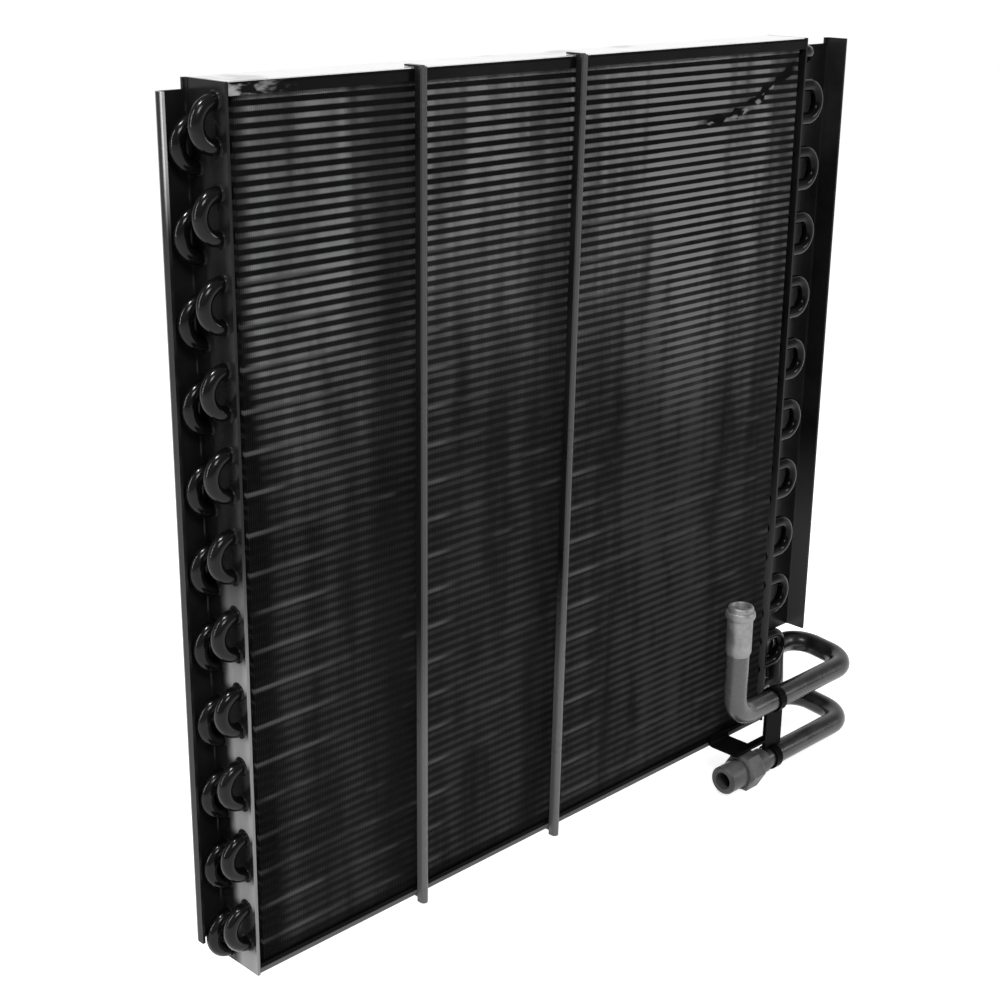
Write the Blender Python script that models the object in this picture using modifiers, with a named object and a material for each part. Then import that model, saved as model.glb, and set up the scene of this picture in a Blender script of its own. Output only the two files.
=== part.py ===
"""Hydraulic oil cooler: a two-row plate-fin coil in a folded frame.

Units are metres, +Z is up and +X runs along the tubes.
The rear mounting plane is Y = 0 and the air face looks towards -Y.
The origin is the middle of the bottom channel's rear flange.
"""
import math

import bmesh
import bpy
from mathutils import Matrix, Vector

# Coil: rows of tubes and the fins they carry
TUBES_PER_ROW = 22
TUBE_PITCH = 0.0254
ROW_PITCH = 0.01905
TUBE_DIAMETER = 0.00953
CORE_WIDTH = 0.540
CORE_DEPTH = 0.0381
FIN_RIPPLES_PER_TUBE = 4
FIN_RIPPLE_DEPTH = 0.0010
FIN_END_GAP = 0.0045
FIN_TOP_GAP = 0.0030

# Bends outside the two tube sheets
HAIRPIN_STRAIGHT = 0.0005
RETURN_STRAIGHT = 0.0160
CROSSOVER_STRAIGHT = 0.0080
TUBE_END = 0.0015
BEND_STEPS = 6
TUBE_SIDES = 8

# Frame of folded sheet
PLATE = 0.0020
CHANNEL_SHEET = 0.0015
CHANNEL_FLANGE = 0.0080
FOLD_STEPS = 2
LEFT_FLANGE_WIDTH = 0.0205
LEFT_FLANGE_LIP = 0.0080
LEFT_FLANGE_TOP_DROP = 0.0065
LEFT_FLANGE_BOTTOM_RISE = 0.0190
RIGHT_FLANGE_WIDTH = 0.0800
RIGHT_FLANGE_LIP = 0.0190
RIGHT_FLANGE_TOP_DROP = 0.0095
RIGHT_LIP_TOP_DROP = 0.0050
RIGHT_FLANGE_BOTTOM_RISE = 0.0560

# Straps across the air face
STRAP_WIDTH = 0.0060
STRAP_DEPTH = 0.0064
STRAP_SHEET = 0.0012
STRAP_FOOT = 0.0100
STRAP_TAIL = 0.0030
STRAP_NOSE_STEPS = 8
LEFT_STRAP_FROM_LEFT = 0.1424
RIGHT_STRAP_FROM_LEFT = 0.2808
RIGHT_STRAP_LEAN = math.radians(0.9)

# Pipes, reducers and the bracket between them
PIPE_DIAMETER = 0.0180
PIPE_BEND_RADIUS = 0.0210
PIPE_SET_RADIUS = 0.0170
PIPE_SIDES_RESOLUTION = 3
PIPE_BEND_STEPS = 5
PIPE_SET_START = 0.0100
PIPE_SET_LENGTH = 0.0240
PIPE_REACH = 0.0830
PIPE_STANDOFF = 0.0280
PIPE_BACK_RISE = 0.0060
UPPER_PIPE_HEIGHT = 0.0380
LOWER_PIPE_DROP = 0.0145
REDUCER_LENGTH = 0.0140
REDUCER_NECK_DIAMETER = 0.0124
REDUCER_SOCKET_DIAMETER = 0.0200
REDUCER_NECK_LENGTH = 0.0042
REDUCER_SOCKET_LENGTH = 0.0056
STUB_FROM_RIGHT = 0.0790
STUB_FOOT_HEIGHT = 0.0940
STUB_ELBOW_RADIUS = 0.0200
FITTING_END_FROM_RIGHT = 0.0900

# Hose stub and hexagon fitting
STUB_LENGTH = 0.0420
STUB_DIAMETER = 0.0205
STUB_BEAD_DIAMETER = 0.0240
STUB_BEAD_DROP = 0.0075
STUB_BORE = 0.0140
STUB_FLOOR = 0.0040
HEX_ACROSS_FLATS = 0.0285
HEX_LENGTH = 0.0190
HEX_CHAMFER = 0.0022
NOSE_LENGTH = 0.0200
NOSE_DIAMETER = 0.0235
NOSE_CHAMFER = 0.0015
FITTING_BORE = 0.0140
FITTING_BORE_DEPTH = 0.0300
TUBE_NUT_LENGTH = 0.0140
TUBE_NUT_DIAMETER = 0.0210
TUBE_NUT_CHAMFER = 0.0011
TURNED_SIDES = 20

# Pipe bracket and its two bands
BRACKET_SHEET = 0.0025
BRACKET_WIDTH = 0.0240
BRACKET_FROM_RIGHT = 0.0750
BRACKET_TAB = 0.0080
BRACKET_RISE = 0.0016
POST_THICKNESS = 0.0030
POST_WIDTH = 0.0220
POST_TONGUE = 0.0070
BAND_SHEET = 0.0014
BAND_WIDTH = 0.0080

# Named clearances
SEAT_GAP = 0.0003
BORE_GAP = 0.0003
JOINT_GAP = 0.0003
CUT_MARGIN = 0.0020

# Sizes and places that follow from the values above
FIN_HEIGHT = TUBES_PER_ROW * TUBE_PITCH
CORE_HEIGHT = FIN_HEIGHT + 2 * CHANNEL_SHEET + FIN_TOP_GAP + SEAT_GAP
BOTTOM = -CHANNEL_FLANGE / 2
TOP = BOTTOM + CORE_HEIGHT
LEFT = -CORE_WIDTH / 2
RIGHT = CORE_WIDTH / 2
FRONT = -CORE_DEPTH
MIDDLE = (TOP + BOTTOM) / 2
FIN_BOTTOM = BOTTOM + CHANNEL_SHEET + SEAT_GAP
FIN_TOP = FIN_BOTTOM + FIN_HEIGHT
FIN_FRONT = FRONT + CHANNEL_SHEET + SEAT_GAP
FIN_REAR = -CHANNEL_SHEET - SEAT_GAP
FRONT_ROW_Y = FRONT / 2 - ROW_PITCH / 2
REAR_ROW_Y = FRONT / 2 + ROW_PITCH / 2
ROW_STAGGER = TUBE_PITCH / 2
HOLE_RADIUS = (TUBE_DIAMETER / 2 + BORE_GAP) / math.cos(math.pi / TUBE_SIDES)
PIPE_FRONT_Y = FRONT - PIPE_STANDOFF
UPPER_PIPE_Z = BOTTOM + UPPER_PIPE_HEIGHT
LOWER_PIPE_Z = BOTTOM - LOWER_PIPE_DROP
PIPE_START_X = RIGHT + TUBE_END + REDUCER_LENGTH + 2 * JOINT_GAP
STUB_X = RIGHT - STUB_FROM_RIGHT
STUB_FOOT_Z = BOTTOM + STUB_FOOT_HEIGHT
FITTING_END_X = RIGHT - FITTING_END_FROM_RIGHT
FITTING_LENGTH = NOSE_LENGTH + HEX_LENGTH
TUBE_NUT_X = FITTING_END_X + FITTING_LENGTH + JOINT_GAP
PIPE_END_X = TUBE_NUT_X + TUBE_NUT_LENGTH + JOINT_GAP
BRACKET_X = RIGHT - BRACKET_FROM_RIGHT
POST_X = PIPE_END_X + SEAT_GAP
BRACKET_BOTTOM = BOTTOM + BRACKET_RISE
ROWS = (("front", FRONT_ROW_Y, 0.0), ("rear", REAR_ROW_Y, ROW_STAGGER))

# Placing that turns a flat outline's local Z to +X, with its Y to +Z
ALONG_X = Matrix(((0, 0, 1, 0), (1, 0, 0, 0), (0, 1, 0, 0), (0, 0, 0, 1)))


def tube_height(index, stagger):
    """Height of one tube of a row, counted from the top."""
    return FIN_TOP - TUBE_PITCH / 4 - stagger - index * TUBE_PITCH


def clear_scene():
    for obj in list(bpy.data.objects):
        bpy.data.objects.remove(obj, do_unlink=True)


def new_collection(name):
    collection = bpy.data.collections.new(name)
    bpy.context.scene.collection.children.link(collection)
    return collection


def new_material(name, colour, roughness, metallic):
    material = bpy.data.materials.new(name)
    material.use_nodes = True
    shader = material.node_tree.nodes["Principled BSDF"]
    shader.inputs["Base Color"].default_value = (*colour, 1.0)
    shader.inputs["Roughness"].default_value = roughness
    shader.inputs["Metallic"].default_value = metallic
    return material


def add_mesh(name, mesh, collection, material=None):
    obj = bpy.data.objects.new(name, mesh)
    collection.objects.link(obj)
    if material:
        mesh.materials.clear()
        mesh.materials.append(material)
    return obj


def poly_curve(name, points, cyclic=False, flat=False):
    """A curve of straight segments through the points."""
    curve = bpy.data.curves.new(name, "CURVE")
    curve.dimensions = "2D" if flat else "3D"
    spline = curve.splines.new("POLY")
    spline.points.add(len(points) - 1)
    for target, point in zip(spline.points, points):
        target.co = (*Vector(point).to_3d(), 1.0)
    spline.use_cyclic_u = cyclic
    return curve


def curve_to_mesh(name, curve, placing=Matrix()):
    """Turn a curve into a mesh with its caps welded, and remove the curve."""
    obj = bpy.data.objects.new(name, curve)
    bpy.context.scene.collection.objects.link(obj)
    bpy.context.view_layer.update()
    evaluated = obj.evaluated_get(bpy.context.evaluated_depsgraph_get())
    mesh = bpy.data.meshes.new_from_object(evaluated)
    bpy.data.objects.remove(obj, do_unlink=True)
    bpy.data.curves.remove(curve)
    shape = bmesh.new()
    shape.from_mesh(mesh)
    bmesh.ops.remove_doubles(shape, verts=shape.verts, dist=1e-6)
    bmesh.ops.transform(shape, matrix=placing, verts=shape.verts)
    shape.to_mesh(mesh)
    shape.free()
    mesh.name = name
    return mesh


def extruded(name, outline, length, placing):
    """A flat closed outline made solid, then placed."""
    curve = poly_curve(name, outline, cyclic=True, flat=True)
    curve.fill_mode = "BOTH"
    curve.extrude = length / 2
    return curve_to_mesh(name, curve, placing)


def rounded(points, radii, steps):
    """A path through the points, with each inner corner rounded by its own radius."""
    path = [Vector(points[0])]
    for before, corner, after, radius in zip(points, points[1:], points[2:], radii):
        corner = Vector(corner)
        into = (corner - Vector(before)).normalized()
        out = (Vector(after) - corner).normalized()
        turn = into.angle(out)
        start = corner - into * radius * math.tan(turn / 2)
        side = (out - into * into.dot(out)).normalized()
        for step in range(steps + 1):
            angle = turn * step / steps
            forward = radius * math.sin(angle)
            sideways = radius * (1 - math.cos(angle))
            path.append(start + into * forward + side * sideways)
    path.append(Vector(points[-1]))
    return path


def folded_sheet(name, section, thickness, length, placing, collection, material):
    """A sheet folded along a section, which is the middle of its thickness."""
    corners = len(section) - 2
    path = rounded(section, [thickness] * corners, FOLD_STEPS)
    curve = poly_curve(name, path, flat=True)
    curve.fill_mode = "NONE"
    curve.extrude = length / 2
    obj = add_mesh(name, curve_to_mesh(name, curve, placing), collection, material)
    solid = obj.modifiers.new("Sheet", "SOLIDIFY")
    solid.thickness = thickness
    solid.offset = 0.0
    solid.use_even_offset = True
    return obj


def box_mesh(name, low, high):
    low = Vector(low)
    high = Vector(high)
    shape = bmesh.new()
    bmesh.ops.create_cube(shape, size=1.0)
    size = high - low
    bmesh.ops.scale(shape, vec=size, verts=shape.verts)
    bmesh.ops.translate(shape, vec=(low + high) / 2, verts=shape.verts)
    mesh = bpy.data.meshes.new(name)
    shape.to_mesh(mesh)
    shape.free()
    return mesh


def cutter(name, mesh, collection):
    obj = add_mesh(name, mesh, collection)
    obj.hide_render = True
    obj.display_type = "WIRE"
    return obj


def boolean(obj, other, operation):
    modifier = obj.modifiers.new(other.name, "BOOLEAN")
    modifier.operation = operation
    modifier.solver = "EXACT"
    modifier.object = other


def tube_holes(name, left, right, collection):
    """Cutters for every tube of both rows, as one object."""
    shape = bmesh.new()
    along_x = Matrix.Rotation(math.pi / 2, 4, "Y")
    for _, row_y, stagger in ROWS:
        for index in range(TUBES_PER_ROW):
            centre = Vector(((left + right) / 2, row_y, tube_height(index, stagger)))
            bmesh.ops.create_cone(
                shape, cap_ends=True, segments=TUBE_SIDES, radius1=HOLE_RADIUS, radius2=HOLE_RADIUS,
                depth=right - left, matrix=Matrix.Translation(centre) @ along_x)
    mesh = bpy.data.meshes.new(name)
    shape.to_mesh(mesh)
    shape.free()
    return cutter(name, mesh, collection)


def smooth_round(mesh, angle=math.radians(40)):
    mesh.shade_smooth()
    mesh.set_sharp_from_angle(angle=angle)


def round_bar(name, path, diameter, resolution, collection, material):
    """A bent round bar or tube along a path."""
    curve = poly_curve(name, path)
    curve.bevel_depth = diameter / 2
    curve.bevel_resolution = resolution
    curve.use_fill_caps = True
    mesh = curve_to_mesh(name, curve)
    smooth_round(mesh)
    return add_mesh(name, mesh, collection, material)


def turned(name, profile, placing, collection, material):
    """A turned piece: the profile runs down its outer side about local Z."""
    mesh = bpy.data.meshes.new(name)
    points = [(radius, 0.0, height) for radius, height in profile]
    count = len(points)
    closed = profile[0][0] > 0
    edges = [(index, (index + 1) % count) for index in range(count if closed else count - 1)]
    mesh.from_pydata(points, edges, [])
    obj = add_mesh(name, mesh, collection, material)
    obj.matrix_world = placing
    screw = obj.modifiers.new("Turn", "SCREW")
    screw.axis = "Z"
    screw.angle = 2 * math.pi
    screw.steps = TURNED_SIDES
    screw.render_steps = TURNED_SIDES
    screw.use_merge_vertices = True
    screw.merge_threshold = 1e-6
    screw.use_smooth_shade = False
    return obj


def facing_x(x, y, z, sign=1):
    """Placing that turns local Z to +X, or to -X for a negative sign."""
    return Matrix.Translation((x, y, z)) @ Matrix.Rotation(sign * math.pi / 2, 4, "Y")


def u_bend(start, end, root_x, direction, straight):
    """Points of a U bend between two tube ends, a straight stretch out from root_x."""
    first = Vector((root_x, *start))
    last = Vector((root_x, *end))
    outward = Vector((direction, 0.0, 0.0))
    centre = (first + last) / 2 + outward * straight
    across = (first - last) / 2
    radius = across.length
    angles = [math.pi * step / BEND_STEPS for step in range(BEND_STEPS + 1)]
    return [centre + across * math.cos(angle) + outward * radius * math.sin(angle) for angle in angles]


def build_hairpins(collection, material):
    """Hairpin tubes: two straight legs through the coil, bent at the left."""
    end_x = RIGHT + TUBE_END
    for row, row_y, stagger in ROWS:
        for pair in range(TUBES_PER_ROW // 2):
            upper = (row_y, tube_height(2 * pair, stagger))
            lower = (row_y, tube_height(2 * pair + 1, stagger))
            bend = u_bend(upper, lower, LEFT, -1.0, HAIRPIN_STRAIGHT)
            path = [Vector((end_x, *upper)), *bend, Vector((end_x, *lower))]
            name = f"{row}_hairpin_{pair + 1:02d}"
            round_bar(name, path, TUBE_DIAMETER, 2, collection, material)


def build_return_bends(collection, material):
    """Return bends that join neighbouring hairpins at the right."""
    start_x = RIGHT + TUBE_END + JOINT_GAP
    for row, row_y, stagger in ROWS:
        for pair in range(TUBES_PER_ROW // 2 - 1):
            upper = (row_y, tube_height(2 * pair + 1, stagger))
            lower = (row_y, tube_height(2 * pair + 2, stagger))
            bend = u_bend(upper, lower, start_x, 1.0, RETURN_STRAIGHT)
            path = [Vector((start_x, *upper)), *bend, Vector((start_x, *lower))]
            name = f"{row}_return_bend_{pair + 1:02d}"
            round_bar(name, path, TUBE_DIAMETER, 2, collection, material)
    front = (FRONT_ROW_Y, tube_height(0, 0.0))
    rear = (REAR_ROW_Y, tube_height(0, ROW_STAGGER))
    bend = u_bend(front, rear, start_x, 1.0, CROSSOVER_STRAIGHT)
    path = [Vector((start_x, *front)), *bend, Vector((start_x, *rear))]
    round_bar("crossover_bend", path, TUBE_DIAMETER, 2, collection, material)


def build_fin_pack(collection, cutters, material):
    """The plate fins stand so close that their ripples read as one ridged face."""
    ripples = TUBES_PER_ROW * FIN_RIPPLES_PER_TUBE
    pitch = FIN_HEIGHT / ripples
    crest = [(FIN_FRONT, FIN_BOTTOM + pitch * step) for step in range(ripples + 1)]
    outline = []
    for index in range(ripples):
        outline.append(crest[index])
        outline.append((FIN_FRONT + FIN_RIPPLE_DEPTH, crest[index][1] + pitch / 2))
    outline.append(crest[-1])
    mirrored = [(FIN_FRONT + FIN_REAR - y, z) for y, z in reversed(outline)]
    length = CORE_WIDTH - 2 * (PLATE + FIN_END_GAP)
    mesh = extruded("fin_pack", outline + mirrored, length, ALONG_X)
    obj = add_mesh("fin_pack", mesh, collection, material)
    margin = FIN_END_GAP / 2
    holes = tube_holes("fin_bores", LEFT + margin, RIGHT - margin, cutters)
    boolean(obj, holes, "DIFFERENCE")


def build_left_sheet(collection, cutters, material):
    """Left tube sheet with its mounting flange and turned lip."""
    half = PLATE / 2
    web_x = LEFT + half
    flange_x = LEFT - LEFT_FLANGE_WIDTH + half
    section = [
        (web_x, FRONT, 0), (web_x, -half, 0), (flange_x, -half, 0), (flange_x, -LEFT_FLANGE_LIP, 0)]
    place = Matrix.Translation((0.0, 0.0, MIDDLE))
    obj = folded_sheet("left_tube_sheet", section, PLATE, CORE_HEIGHT, place, collection, material)
    outer = flange_x - CUT_MARGIN
    notches = (
        ("left_top_notch", TOP - LEFT_FLANGE_TOP_DROP, TOP + CUT_MARGIN),
        ("left_bottom_notch", BOTTOM - CUT_MARGIN, BOTTOM + LEFT_FLANGE_BOTTOM_RISE))
    for name, low, high in notches:
        corner = (LEFT - PLATE, CUT_MARGIN, high)
        notch = box_mesh(name, (outer, -LEFT_FLANGE_LIP - CUT_MARGIN, low), corner)
        boolean(obj, cutter(name, notch, cutters), "DIFFERENCE")
    holes = tube_holes("left_sheet_holes", LEFT - CUT_MARGIN, LEFT + PLATE + CUT_MARGIN, cutters)
    boolean(obj, holes, "DIFFERENCE")


def build_right_sheet(collection, cutters, material):
    """Right tube sheet: a deep channel that guards the return bends."""
    half = PLATE / 2
    web_x = RIGHT - half
    lip_x = RIGHT + RIGHT_FLANGE_WIDTH - half
    section = [
        (web_x, FRONT, 0), (web_x, -half, 0), (lip_x, -half, 0), (lip_x, -RIGHT_FLANGE_LIP, 0)]
    place = Matrix.Translation((0.0, 0.0, MIDDLE))
    obj = folded_sheet("right_tube_sheet", section, PLATE, CORE_HEIGHT, place, collection, material)
    outer = lip_x + CUT_MARGIN
    wall_edge = RIGHT + PLATE
    lip_edge = lip_x - 2 * PLATE
    lip_front = -RIGHT_FLANGE_LIP - CUT_MARGIN
    notches = (
        ("wall_top_notch", wall_edge, lip_edge, TOP - RIGHT_FLANGE_TOP_DROP, TOP + CUT_MARGIN),
        ("lip_top_notch", lip_edge - PLATE, outer, TOP - RIGHT_LIP_TOP_DROP, TOP + CUT_MARGIN),
        ("right_bottom_notch", wall_edge, outer, BOTTOM - CUT_MARGIN, BOTTOM + RIGHT_FLANGE_BOTTOM_RISE))
    for name, left, right, low, high in notches:
        notch = box_mesh(name, (left, lip_front, low), (right, CUT_MARGIN, high))
        boolean(obj, cutter(name, notch, cutters), "DIFFERENCE")
    holes = tube_holes("right_sheet_holes", RIGHT - PLATE - CUT_MARGIN, RIGHT + CUT_MARGIN, cutters)
    boolean(obj, holes, "DIFFERENCE")


def build_channels(collection, material):
    """Top and bottom channels that clasp the fins between the tube sheets."""
    half = CHANNEL_SHEET / 2
    length = CORE_WIDTH - 2 * (PLATE + SEAT_GAP)
    places = (("top_channel", TOP - half, TOP - CHANNEL_FLANGE),
              ("bottom_channel", BOTTOM + half, BOTTOM + CHANNEL_FLANGE))
    for name, web_z, edge_z in places:
        section = [
            (FRONT + half, edge_z, 0), (FRONT + half, web_z, 0), (-half, web_z, 0), (-half, edge_z, 0)]
        folded_sheet(name, section, CHANNEL_SHEET, length, ALONG_X, collection, material)


def strap_section():
    """Folded strap seen from above: open at the back, round at the nose."""
    outer = STRAP_WIDTH / 2
    inner = outer - STRAP_SHEET
    nose = -(STRAP_DEPTH - outer)
    turns = [math.pi * step / STRAP_NOSE_STEPS for step in range(STRAP_NOSE_STEPS + 1)]
    outline = [(outer, 0.0)]
    outline += [(outer * math.cos(turn), nose - outer * math.sin(turn)) for turn in turns]
    outline += [(-outer, 0.0), (-inner, 0.0)]
    outline += [(-inner * math.cos(turn), nose - inner * math.sin(turn)) for turn in turns]
    outline.append((inner, 0.0))
    return outline


def build_straps(collection, cutters, material):
    """Two folded straps over the channels, each with a tab at both ends."""
    hook = MIDDLE + CORE_HEIGHT / 2 + SEAT_GAP
    foot = MIDDLE - CORE_HEIGHT / 2 - SEAT_GAP
    top = hook + STRAP_SHEET / 2
    bottom = foot - STRAP_SHEET - STRAP_TAIL
    centring = Matrix.Translation((0.0, 0.0, (top + bottom) / 2 - MIDDLE))
    half = (STRAP_WIDTH - STRAP_SHEET) / 2
    tabs = (("hook", hook), ("foot", foot - STRAP_SHEET))
    straps = (("left_front_strap", LEFT_STRAP_FROM_LEFT, 0.0),
              ("right_front_strap", RIGHT_STRAP_FROM_LEFT, RIGHT_STRAP_LEAN))
    for name, from_left, lean in straps:
        place = Matrix.Translation((LEFT + from_left, FRONT - SEAT_GAP, MIDDLE))
        place = place @ Matrix.Rotation(lean, 4, "Y")
        mesh = extruded(name, strap_section(), top - bottom, place @ centring)
        obj = add_mesh(name, mesh, collection, material)
        for tag, low_z in tabs:
            low = (-half, -STRAP_DEPTH / 2, low_z - MIDDLE)
            high = (half, STRAP_FOOT, low_z - MIDDLE + STRAP_SHEET)
            tab = cutter(f"{name}_{tag}", box_mesh(f"{name}_{tag}", low, high), cutters)
            tab.data.transform(place)
            boolean(obj, tab, "UNION")


def build_pipes(collection, material):
    """Upper and lower pipes from the reducers round to the air face."""
    set_start = PIPE_START_X + PIPE_SET_START
    set_end = set_start + PIPE_SET_LENGTH
    turn_x = RIGHT + PIPE_REACH
    first = tube_height(TUBES_PER_ROW - 1, 0.0)
    second = tube_height(TUBES_PER_ROW - 1, ROW_STAGGER)
    upper_back = UPPER_PIPE_Z + PIPE_BACK_RISE
    lower_back = LOWER_PIPE_Z + PIPE_BACK_RISE
    upper = [
        (PIPE_START_X, FRONT_ROW_Y, first), (set_start, FRONT_ROW_Y, first),
        (set_end, REAR_ROW_Y, upper_back), (turn_x, REAR_ROW_Y, upper_back),
        (turn_x, PIPE_FRONT_Y, UPPER_PIPE_Z), (STUB_X, PIPE_FRONT_Y, UPPER_PIPE_Z),
        (STUB_X, PIPE_FRONT_Y, STUB_FOOT_Z)]
    lower = [
        (PIPE_START_X, REAR_ROW_Y, second), (set_start, REAR_ROW_Y, second),
        (set_end, REAR_ROW_Y, lower_back), (turn_x, REAR_ROW_Y, lower_back),
        (turn_x, PIPE_FRONT_Y, LOWER_PIPE_Z), (PIPE_END_X, PIPE_FRONT_Y, LOWER_PIPE_Z)]
    radii = [PIPE_SET_RADIUS, PIPE_SET_RADIUS, PIPE_BEND_RADIUS, PIPE_BEND_RADIUS, STUB_ELBOW_RADIUS]
    for name, points in (("upper_pipe", upper), ("lower_pipe", lower)):
        path = rounded(points, radii, PIPE_BEND_STEPS)
        round_bar(name, path, PIPE_DIAMETER, PIPE_SIDES_RESOLUTION, collection, material)


def build_reducers(collection, material):
    """Brazed reducers between the last coil tubes and the pipes."""
    neck = REDUCER_NECK_DIAMETER / 2
    socket = REDUCER_SOCKET_DIAMETER / 2
    length = REDUCER_LENGTH
    shoulder = length - REDUCER_SOCKET_LENGTH
    profile = [
        (0.0, length), (socket, length), (socket, shoulder), (neck, REDUCER_NECK_LENGTH), (neck, 0.0),
        (0.0, 0.0)]
    last = TUBES_PER_ROW - 1
    places = (("upper_reducer", FRONT_ROW_Y, 0.0), ("lower_reducer", REAR_ROW_Y, ROW_STAGGER))
    for name, row_y, stagger in places:
        place = facing_x(RIGHT + TUBE_END + JOINT_GAP, row_y, tube_height(last, stagger))
        turned(name, profile, place, collection, material)


def build_hose_stub(collection, material):
    """Turned hose stub with a bead below its mouth and a blind bore."""
    body = STUB_DIAMETER / 2
    bead = STUB_BEAD_DIAMETER / 2
    bore = STUB_BORE / 2
    top = STUB_LENGTH
    bead_z = top - STUB_BEAD_DROP
    swell = bead - body
    profile = [
        (0.0, STUB_FLOOR), (bore, STUB_FLOOR), (bore, top), (body - swell / 2, top), (body, top - swell),
        (bead, bead_z + swell), (bead, bead_z - swell), (body, bead_z - 2 * swell), (body, 2 * swell),
        (PIPE_DIAMETER / 2, 0.0), (0.0, 0.0)]
    place = Matrix.Translation((STUB_X, PIPE_FRONT_Y, STUB_FOOT_Z + JOINT_GAP))
    turned("hose_stub", profile, place, collection, material)


def build_fitting(collection, cutters, material):
    """Chamfered hexagon body with a turned nose and a bore, and the nut behind it."""
    shape = bmesh.new()
    flat = HEX_ACROSS_FLATS / 2
    corner = flat / math.cos(math.pi / 6)
    middle = FITTING_END_X + NOSE_LENGTH + HEX_LENGTH / 2
    along_x = Matrix.Rotation(math.pi / 2, 4, "Y")
    place = Matrix.Translation((middle, PIPE_FRONT_Y, LOWER_PIPE_Z)) @ along_x
    bmesh.ops.create_cone(
        shape, cap_ends=True, segments=6, radius1=corner, radius2=corner, depth=HEX_LENGTH, matrix=place)
    mesh = bpy.data.meshes.new("hex_fitting")
    shape.to_mesh(mesh)
    shape.free()
    obj = add_mesh("hex_fitting", mesh, collection, material)
    end = facing_x(FITTING_END_X, PIPE_FRONT_Y, LOWER_PIPE_Z)
    hex_start = facing_x(FITTING_END_X + NOSE_LENGTH, PIPE_FRONT_Y, LOWER_PIPE_Z)
    slope = HEX_CHAMFER / math.tan(math.pi / 6)
    low = flat - HEX_CHAMFER / 2
    high = low + slope
    chamfer_profile = [
        (0.0, HEX_LENGTH), (low, HEX_LENGTH), (high, HEX_LENGTH - HEX_CHAMFER), (high, HEX_CHAMFER),
        (low, 0.0), (0.0, 0.0)]
    nose = NOSE_DIAMETER / 2
    bore = FITTING_BORE / 2
    depth = NOSE_LENGTH + HEX_LENGTH / 2
    nose_profile = [
        (0.0, depth), (nose, depth), (nose, NOSE_CHAMFER), (nose - NOSE_CHAMFER, 0.0), (0.0, 0.0)]
    bore_profile = [
        (0.0, FITTING_BORE_DEPTH), (bore, FITTING_BORE_DEPTH), (bore, -CUT_MARGIN), (0.0, -CUT_MARGIN)]
    steps = (("hex_chamfers", chamfer_profile, hex_start, "INTERSECT"),
             ("fitting_nose", nose_profile, end, "UNION"),
             ("fitting_bore", bore_profile, end, "DIFFERENCE"))
    for name, profile, place, operation in steps:
        tool = turned(name, profile, place, cutters, None)
        tool.hide_render = True
        tool.display_type = "WIRE"
        boolean(obj, tool, operation)
    nut = TUBE_NUT_DIAMETER / 2
    chamfer = TUBE_NUT_CHAMFER
    length = TUBE_NUT_LENGTH
    nut_profile = [
        (0.0, length), (nut - chamfer, length), (nut, length - chamfer), (nut, chamfer),
        (nut - chamfer, 0.0), (0.0, 0.0)]
    place = facing_x(TUBE_NUT_X, PIPE_FRONT_Y, LOWER_PIPE_Z)
    turned("tube_nut", nut_profile, place, collection, material)


def build_bracket(collection, cutters, material):
    """Arm from the bottom channel with a post that stands between the pipes."""
    half = BRACKET_SHEET / 2
    arm_z = BRACKET_BOTTOM + half
    front_y = PIPE_FRONT_Y - POST_THICKNESS / 2
    back_y = FRONT - SEAT_GAP - half
    middle_x = BRACKET_X + BRACKET_WIDTH / 2
    section = [(back_y, arm_z + BRACKET_TAB, 0), (back_y, arm_z, 0), (front_y, arm_z, 0)]
    place = Matrix.Translation((middle_x, 0, 0)) @ ALONG_X
    obj = folded_sheet(
        "pipe_bracket", section, BRACKET_SHEET, BRACKET_WIDTH, place, collection, material)
    tongue = box_mesh(
        "bracket_tongue", (BRACKET_X + BRACKET_WIDTH - BRACKET_SHEET, front_y, BRACKET_BOTTOM),
        (POST_X + POST_WIDTH, front_y + POST_TONGUE, BRACKET_BOTTOM + BRACKET_SHEET))
    radius = PIPE_DIAMETER / 2
    post = box_mesh(
        "bracket_post", (POST_X, PIPE_FRONT_Y - POST_THICKNESS / 2, LOWER_PIPE_Z + radius + SEAT_GAP),
        (POST_X + POST_WIDTH, PIPE_FRONT_Y + POST_THICKNESS / 2, UPPER_PIPE_Z - radius - SEAT_GAP))
    for name, mesh in (("bracket_tongue", tongue), ("bracket_post", post)):
        boolean(obj, cutter(name, mesh, cutters), "UNION")


def build_bands(collection, cutters, material):
    """Thin bands that wrap each pipe and end on both faces of the post."""
    inner = PIPE_DIAMETER / 2 + SEAT_GAP
    outer = inner + BAND_SHEET
    width = BAND_WIDTH
    profile = [(inner, width), (outer, width), (outer, 0.0), (inner, 0.0)]
    x = POST_X + (POST_WIDTH - width) / 2
    slot = POST_THICKNESS / 2 + SEAT_GAP
    bands = (("upper_band", UPPER_PIPE_Z, UPPER_PIPE_Z - outer - CUT_MARGIN, UPPER_PIPE_Z),
             ("lower_band", LOWER_PIPE_Z, LOWER_PIPE_Z, LOWER_PIPE_Z + outer + CUT_MARGIN))
    for name, z, low, high in bands:
        obj = turned(name, profile, facing_x(x, PIPE_FRONT_Y, z), collection, material)
        low_corner = (x - CUT_MARGIN, PIPE_FRONT_Y - slot, low)
        high_corner = (x + width + CUT_MARGIN, PIPE_FRONT_Y + slot, high)
        slot_mesh = box_mesh(f"{name}_slot", low_corner, high_corner)
        boolean(obj, cutter(f"{name}_slot", slot_mesh, cutters), "DIFFERENCE")


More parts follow.
